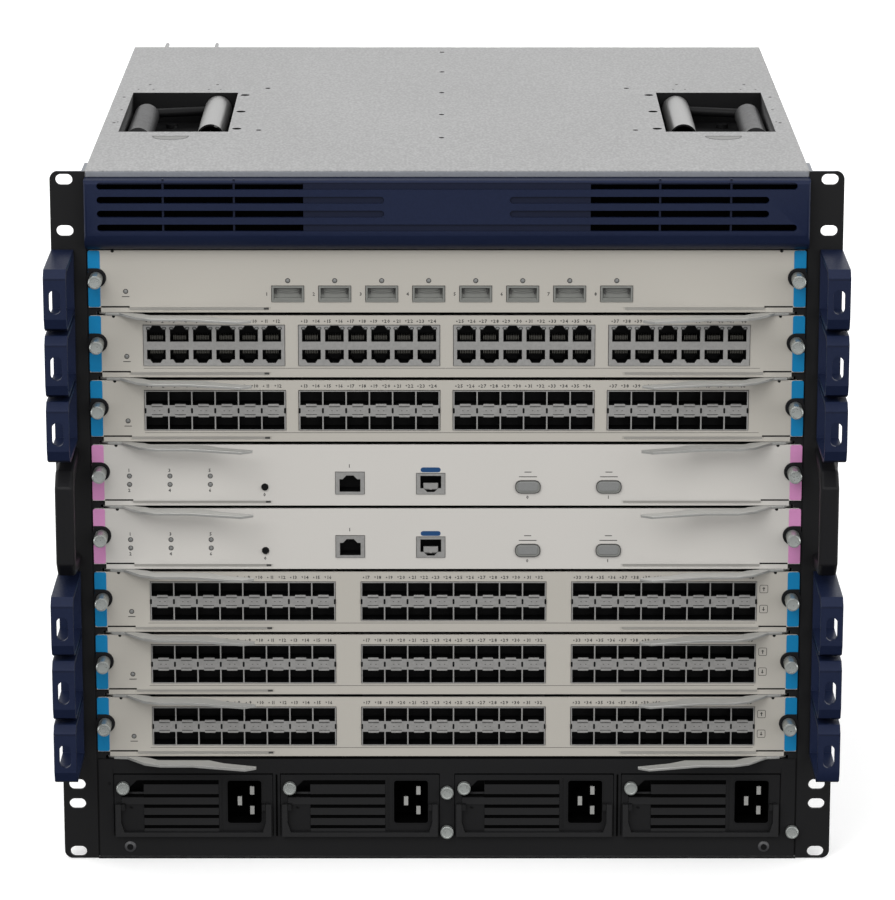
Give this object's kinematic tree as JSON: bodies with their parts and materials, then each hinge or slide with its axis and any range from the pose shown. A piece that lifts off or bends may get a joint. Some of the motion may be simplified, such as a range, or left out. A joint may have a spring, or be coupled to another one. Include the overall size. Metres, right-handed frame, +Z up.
{
  "type": "modular chassis switch",
  "caption": "Rack-mount network chassis with slide-in line cards, supervisor cards, power supplies, rear fan trays, cable guides and folding handles.",
  "frame": {"origin": "middle of the base's lower face, under the front plane of the rack ears", "axes": "+X to the right seen from the front, +Y to the rear, +Z up"},
  "size_m": [0.4826, 0.542, 0.4418],
  "materials": {
    "zinc_sheet": "galvanised steel sheet",
    "black_sheet": "satin black powder coat",
    "card_paint": "warm grey powder coat",
    "blue_plastic": "dark blue moulding",
    "black_plastic": "fine texture",
    "port_metal": "tinned cages on a circuit board",
    "lever_steel": "plain steel",
    "bright_steel": "polished tube and rod",
    "board_green": "circuit board"
  },
  "bodies": {
    "chassis": {"chassis_shell": "zinc_sheet", "backplane": "board_green", "front_bezel": "blue_plastic", "psu_bay_frame": "black_sheet", "rack_ear_left": "black_sheet", "rack_ear_right": "black_sheet", "cable_guides_left": "blue_plastic", "cable_guides_right": "blue_plastic", "side_handle_left": "black_plastic", "side_handle_right": "black_plastic"},
    "card_1": {"card_1_panel": "card_paint", "card_1_board": "port_metal"},
    "card_1_ejector_left": {"card_1_ejector_left": "lever_steel"},
    "card_1_ejector_right": {"card_1_ejector_right": "lever_steel"},
    "card_2": {"card_2_panel": "card_paint", "card_2_board": "port_metal"},
    "card_2_ejector_left": {"card_2_ejector_left": "lever_steel"},
    "card_2_ejector_right": {"card_2_ejector_right": "lever_steel"},
    "card_3": {"card_3_panel": "card_paint", "card_3_board": "port_metal"},
    "card_3_ejector_left": {"card_3_ejector_left": "lever_steel"},
    "card_3_ejector_right": {"card_3_ejector_right": "lever_steel"},
    "card_4": {"card_4_panel": "card_paint", "card_4_board": "port_metal"},
    "card_4_ejector_left": {"card_4_ejector_left": "lever_steel"},
    "card_4_ejector_right": {"card_4_ejector_right": "lever_steel"},
    "card_5": {"card_5_panel": "card_paint", "card_5_board": "port_metal"},
    "card_5_ejector_left": {"card_5_ejector_left": "lever_steel"},
    "card_5_ejector_right": {"card_5_ejector_right": "lever_steel"},
    "card_6": {"card_6_panel": "card_paint", "card_6_board": "port_metal"},
    "card_6_ejector_left": {"card_6_ejector_left": "lever_steel"},
    "card_6_ejector_right": {"card_6_ejector_right": "lever_steel"},
    "card_7": {"card_7_panel": "card_paint", "card_7_board": "port_metal"},
    "card_7_ejector_left": {"card_7_ejector_left": "lever_steel"},
    "card_7_ejector_right": {"card_7_ejector_right": "lever_steel"},
    "card_8": {"card_8_panel": "card_paint", "card_8_board": "port_metal"},
    "card_8_ejector_left": {"card_8_ejector_left": "lever_steel"},
    "card_8_ejector_right": {"card_8_ejector_right": "lever_steel"},
    "card_4_button": {"card_4_button": "black_plastic"},
    "card_5_button": {"card_5_button": "black_plastic"},
    "psu_1": {"psu_1_module": "black_sheet"},
    "psu_1_handle": {"psu_1_handle": "black_sheet"},
    "psu_2": {"psu_2_module": "black_sheet"},
    "psu_2_handle": {"psu_2_handle": "black_sheet"},
    "psu_3": {"psu_3_module": "black_sheet"},
    "psu_3_handle": {"psu_3_handle": "black_sheet"},
    "psu_4": {"psu_4_module": "black_sheet"},
    "psu_4_handle": {"psu_4_handle": "black_sheet"},
    "top_handle_left": {"top_handle_left": "bright_steel"},
    "fan_tray_left": {"fan_tray_left": "zinc_sheet"},
    "fan_rotor_left_lower": {"fan_rotor_left_lower": "black_plastic"},
    "fan_rotor_left_upper": {"fan_rotor_left_upper": "black_plastic"},
    "top_handle_right": {"top_handle_right": "bright_steel"},
    "fan_tray_right": {"fan_tray_right": "zinc_sheet"},
    "fan_rotor_right_lower": {"fan_rotor_right_lower": "black_plastic"},
    "fan_rotor_right_upper": {"fan_rotor_right_upper": "black_plastic"}
  },
  "joints": [
    {"name": "card_1_slide", "type": "slide", "parent": "chassis", "child": "card_1", "axis": [0, -1, 0], "range_m": [0, 0.36]},
    {"name": "card_1_ejector_left_swing", "type": "hinge", "parent": "card_1", "child": "card_1_ejector_left", "pos_m": [-0.205, 0.006, 0.35296], "axis": [0, 0, -1], "range_deg": [0, 60]},
    {"name": "card_1_ejector_right_swing", "type": "hinge", "parent": "card_1", "child": "card_1_ejector_right", "pos_m": [0.205, 0.006, 0.35296], "axis": [0, 0, 1], "range_deg": [0, 60]},
    {"name": "card_2_slide", "type": "slide", "parent": "chassis", "child": "card_2", "axis": [0, -1, 0], "range_m": [0, 0.36]},
    {"name": "card_2_ejector_left_swing", "type": "hinge", "parent": "card_2", "child": "card_2_ejector_left", "pos_m": [-0.205, 0.006, 0.31212], "axis": [0, 0, -1], "range_deg": [0, 60]},
    {"name": "card_2_ejector_right_swing", "type": "hinge", "parent": "card_2", "child": "card_2_ejector_right", "pos_m": [0.205, 0.006, 0.31212], "axis": [0, 0, 1], "range_deg": [0, 60]},
    {"name": "card_3_slide", "type": "slide", "parent": "chassis", "child": "card_3", "axis": [0, -1, 0], "range_m": [0, 0.36]},
    {"name": "card_3_ejector_left_swing", "type": "hinge", "parent": "card_3", "child": "card_3_ejector_left", "pos_m": [-0.205, 0.006, 0.27128], "axis": [0, 0, -1], "range_deg": [0, 60]},
    {"name": "card_3_ejector_right_swing", "type": "hinge", "parent": "card_3", "child": "card_3_ejector_right", "pos_m": [0.205, 0.006, 0.27128], "axis": [0, 0, 1], "range_deg": [0, 60]},
    {"name": "card_4_slide", "type": "slide", "parent": "chassis", "child": "card_4", "axis": [0, -1, 0], "range_m": [0, 0.36]},
    {"name": "card_4_ejector_left_swing", "type": "hinge", "parent": "card_4", "child": "card_4_ejector_left", "pos_m": [-0.205, 0.006, 0.23044], "axis": [0, 0, -1], "range_deg": [0, 60]},
    {"name": "card_4_ejector_right_swing", "type": "hinge", "parent": "card_4", "child": "card_4_ejector_right", "pos_m": [0.205, 0.006, 0.23044], "axis": [0, 0, 1], "range_deg": [0, 60]},
    {"name": "card_5_slide", "type": "slide", "parent": "chassis", "child": "card_5", "axis": [0, -1, 0], "range_m": [0, 0.36]},
    {"name": "card_5_ejector_left_swing", "type": "hinge", "parent": "card_5", "child": "card_5_ejector_left", "pos_m": [-0.205, 0.006, 0.1896], "axis": [0, 0, -1], "range_deg": [0, 60]},
    {"name": "card_5_ejector_right_swing", "type": "hinge", "parent": "card_5", "child": "card_5_ejector_right", "pos_m": [0.205, 0.006, 0.1896], "axis": [0, 0, 1], "range_deg": [0, 60]},
    {"name": "card_6_slide", "type": "slide", "parent": "chassis", "child": "card_6", "axis": [0, -1, 0], "range_m": [0, 0.36]},
    {"name": "card_6_ejector_left_swing", "type": "hinge", "parent": "card_6", "child": "card_6_ejector_left", "pos_m": [-0.205, 0.006, 0.14876], "axis": [0, 0, -1], "range_deg": [0, 60]},
    {"name": "card_6_ejector_right_swing", "type": "hinge", "parent": "card_6", "child": "card_6_ejector_right", "pos_m": [0.205, 0.006, 0.14876], "axis": [0, 0, 1], "range_deg": [0, 60]},
    {"name": "card_7_slide", "type": "slide", "parent": "chassis", "child": "card_7", "axis": [0, -1, 0], "range_m": [0, 0.36]},
    {"name": "card_7_ejector_left_swing", "type": "hinge", "parent": "card_7", "child": "card_7_ejector_left", "pos_m": [-0.205, 0.006, 0.10792], "axis": [0, 0, -1], "range_deg": [0, 60]},
    {"name": "card_7_ejector_right_swing", "type": "hinge", "parent": "card_7", "child": "card_7_ejector_right", "pos_m": [0.205, 0.006, 0.10792], "axis": [0, 0, 1], "range_deg": [0, 60]},
    {"name": "card_8_slide", "type": "slide", "parent": "chassis", "child": "card_8", "axis": [0, -1, 0], "range_m": [0, 0.36]},
    {"name": "card_8_ejector_left_swing", "type": "hinge", "parent": "card_8", "child": "card_8_ejector_left", "pos_m": [-0.205, 0.006, 0.06708], "axis": [0, 0, -1], "range_deg": [0, 60]},
    {"name": "card_8_ejector_right_swing", "type": "hinge", "parent": "card_8", "child": "card_8_ejector_right", "pos_m": [0.205, 0.006, 0.06708], "axis": [0, 0, 1], "range_deg": [0, 60]},
    {"name": "card_4_button_press", "type": "slide", "parent": "card_4", "child": "card_4_button", "axis": [0, 1, 0], "range_m": [0, 0.0008], "stiffness_N_per_m": 400},
    {"name": "card_5_button_press", "type": "slide", "parent": "card_5", "child": "card_5_button", "axis": [0, 1, 0], "range_m": [0, 0.0008], "stiffness_N_per_m": 400},
    {"name": "psu_1_slide", "type": "slide", "parent": "chassis", "child": "psu_1", "axis": [0, -1, 0], "range_m": [0, 0.34]},
    {"name": "psu_1_handle_swing", "type": "hinge", "parent": "psu_1", "child": "psu_1_handle", "pos_m": [0, -0.0027, 0.0352], "axis": [-1, 0, 0], "range_deg": [0, 100]},
    {"name": "psu_2_slide", "type": "slide", "parent": "chassis", "child": "psu_2", "axis": [0, -1, 0], "range_m": [0, 0.34]},
    {"name": "psu_2_handle_swing", "type": "hinge", "parent": "psu_2", "child": "psu_2_handle", "pos_m": [0, -0.0027, 0.0352], "axis": [-1, 0, 0], "range_deg": [0, 100]},
    {"name": "psu_3_slide", "type": "slide", "parent": "chassis", "child": "psu_3", "axis": [0, -1, 0], "range_m": [0, 0.34]},
    {"name": "psu_3_handle_swing", "type": "hinge", "parent": "psu_3", "child": "psu_3_handle", "pos_m": [0, -0.0027, 0.0352], "axis": [-1, 0, 0], "range_deg": [0, 100]},
    {"name": "psu_4_slide", "type": "slide", "parent": "chassis", "child": "psu_4", "axis": [0, -1, 0], "range_m": [0, 0.34]},
    {"name": "psu_4_handle_swing", "type": "hinge", "parent": "psu_4", "child": "psu_4_handle", "pos_m": [0, -0.0027, 0.0352], "axis": [-1, 0, 0], "range_deg": [0, 100]},
    {"name": "top_handle_left_swing", "type": "hinge", "parent": "chassis", "child": "top_handle_left", "pos_m": [-0.198, 0.2, 0.4311], "axis": [0, -1, 0], "range_deg": [0, 95]},
    {"name": "fan_tray_left_slide", "type": "slide", "parent": "chassis", "child": "fan_tray_left", "axis": [0, 1, 0], "range_m": [0, 0.12]},
    {"name": "fan_rotor_left_lower_spin", "type": "hinge", "parent": "fan_tray_left", "child": "fan_rotor_left_lower", "pos_m": [-0.107, 0.43, 0.164], "axis": [0, 1, 0], "continuous": true},
    {"name": "fan_rotor_left_upper_spin", "type": "hinge", "parent": "fan_tray_left", "child": "fan_rotor_left_upper", "pos_m": [-0.107, 0.43, 0.338], "axis": [0, 1, 0], "continuous": true},
    {"name": "top_handle_right_swing", "type": "hinge", "parent": "chassis", "child": "top_handle_right", "pos_m": [0.198, 0.2, 0.4311], "axis": [0, 1, 0], "range_deg": [0, 95]},
    {"name": "fan_tray_right_slide", "type": "slide", "parent": "chassis", "child": "fan_tray_right", "axis": [0, 1, 0], "range_m": [0, 0.12]},
    {"name": "fan_rotor_right_lower_spin", "type": "hinge", "parent": "fan_tray_right", "child": "fan_rotor_right_lower", "pos_m": [0.107, 0.43, 0.164], "axis": [0, 1, 0], "continuous": true},
    {"name": "fan_rotor_right_upper_spin", "type": "hinge", "parent": "fan_tray_right", "child": "fan_rotor_right_upper", "pos_m": [0.107, 0.43, 0.338], "axis": [0, 1, 0], "continuous": true}
  ]
}
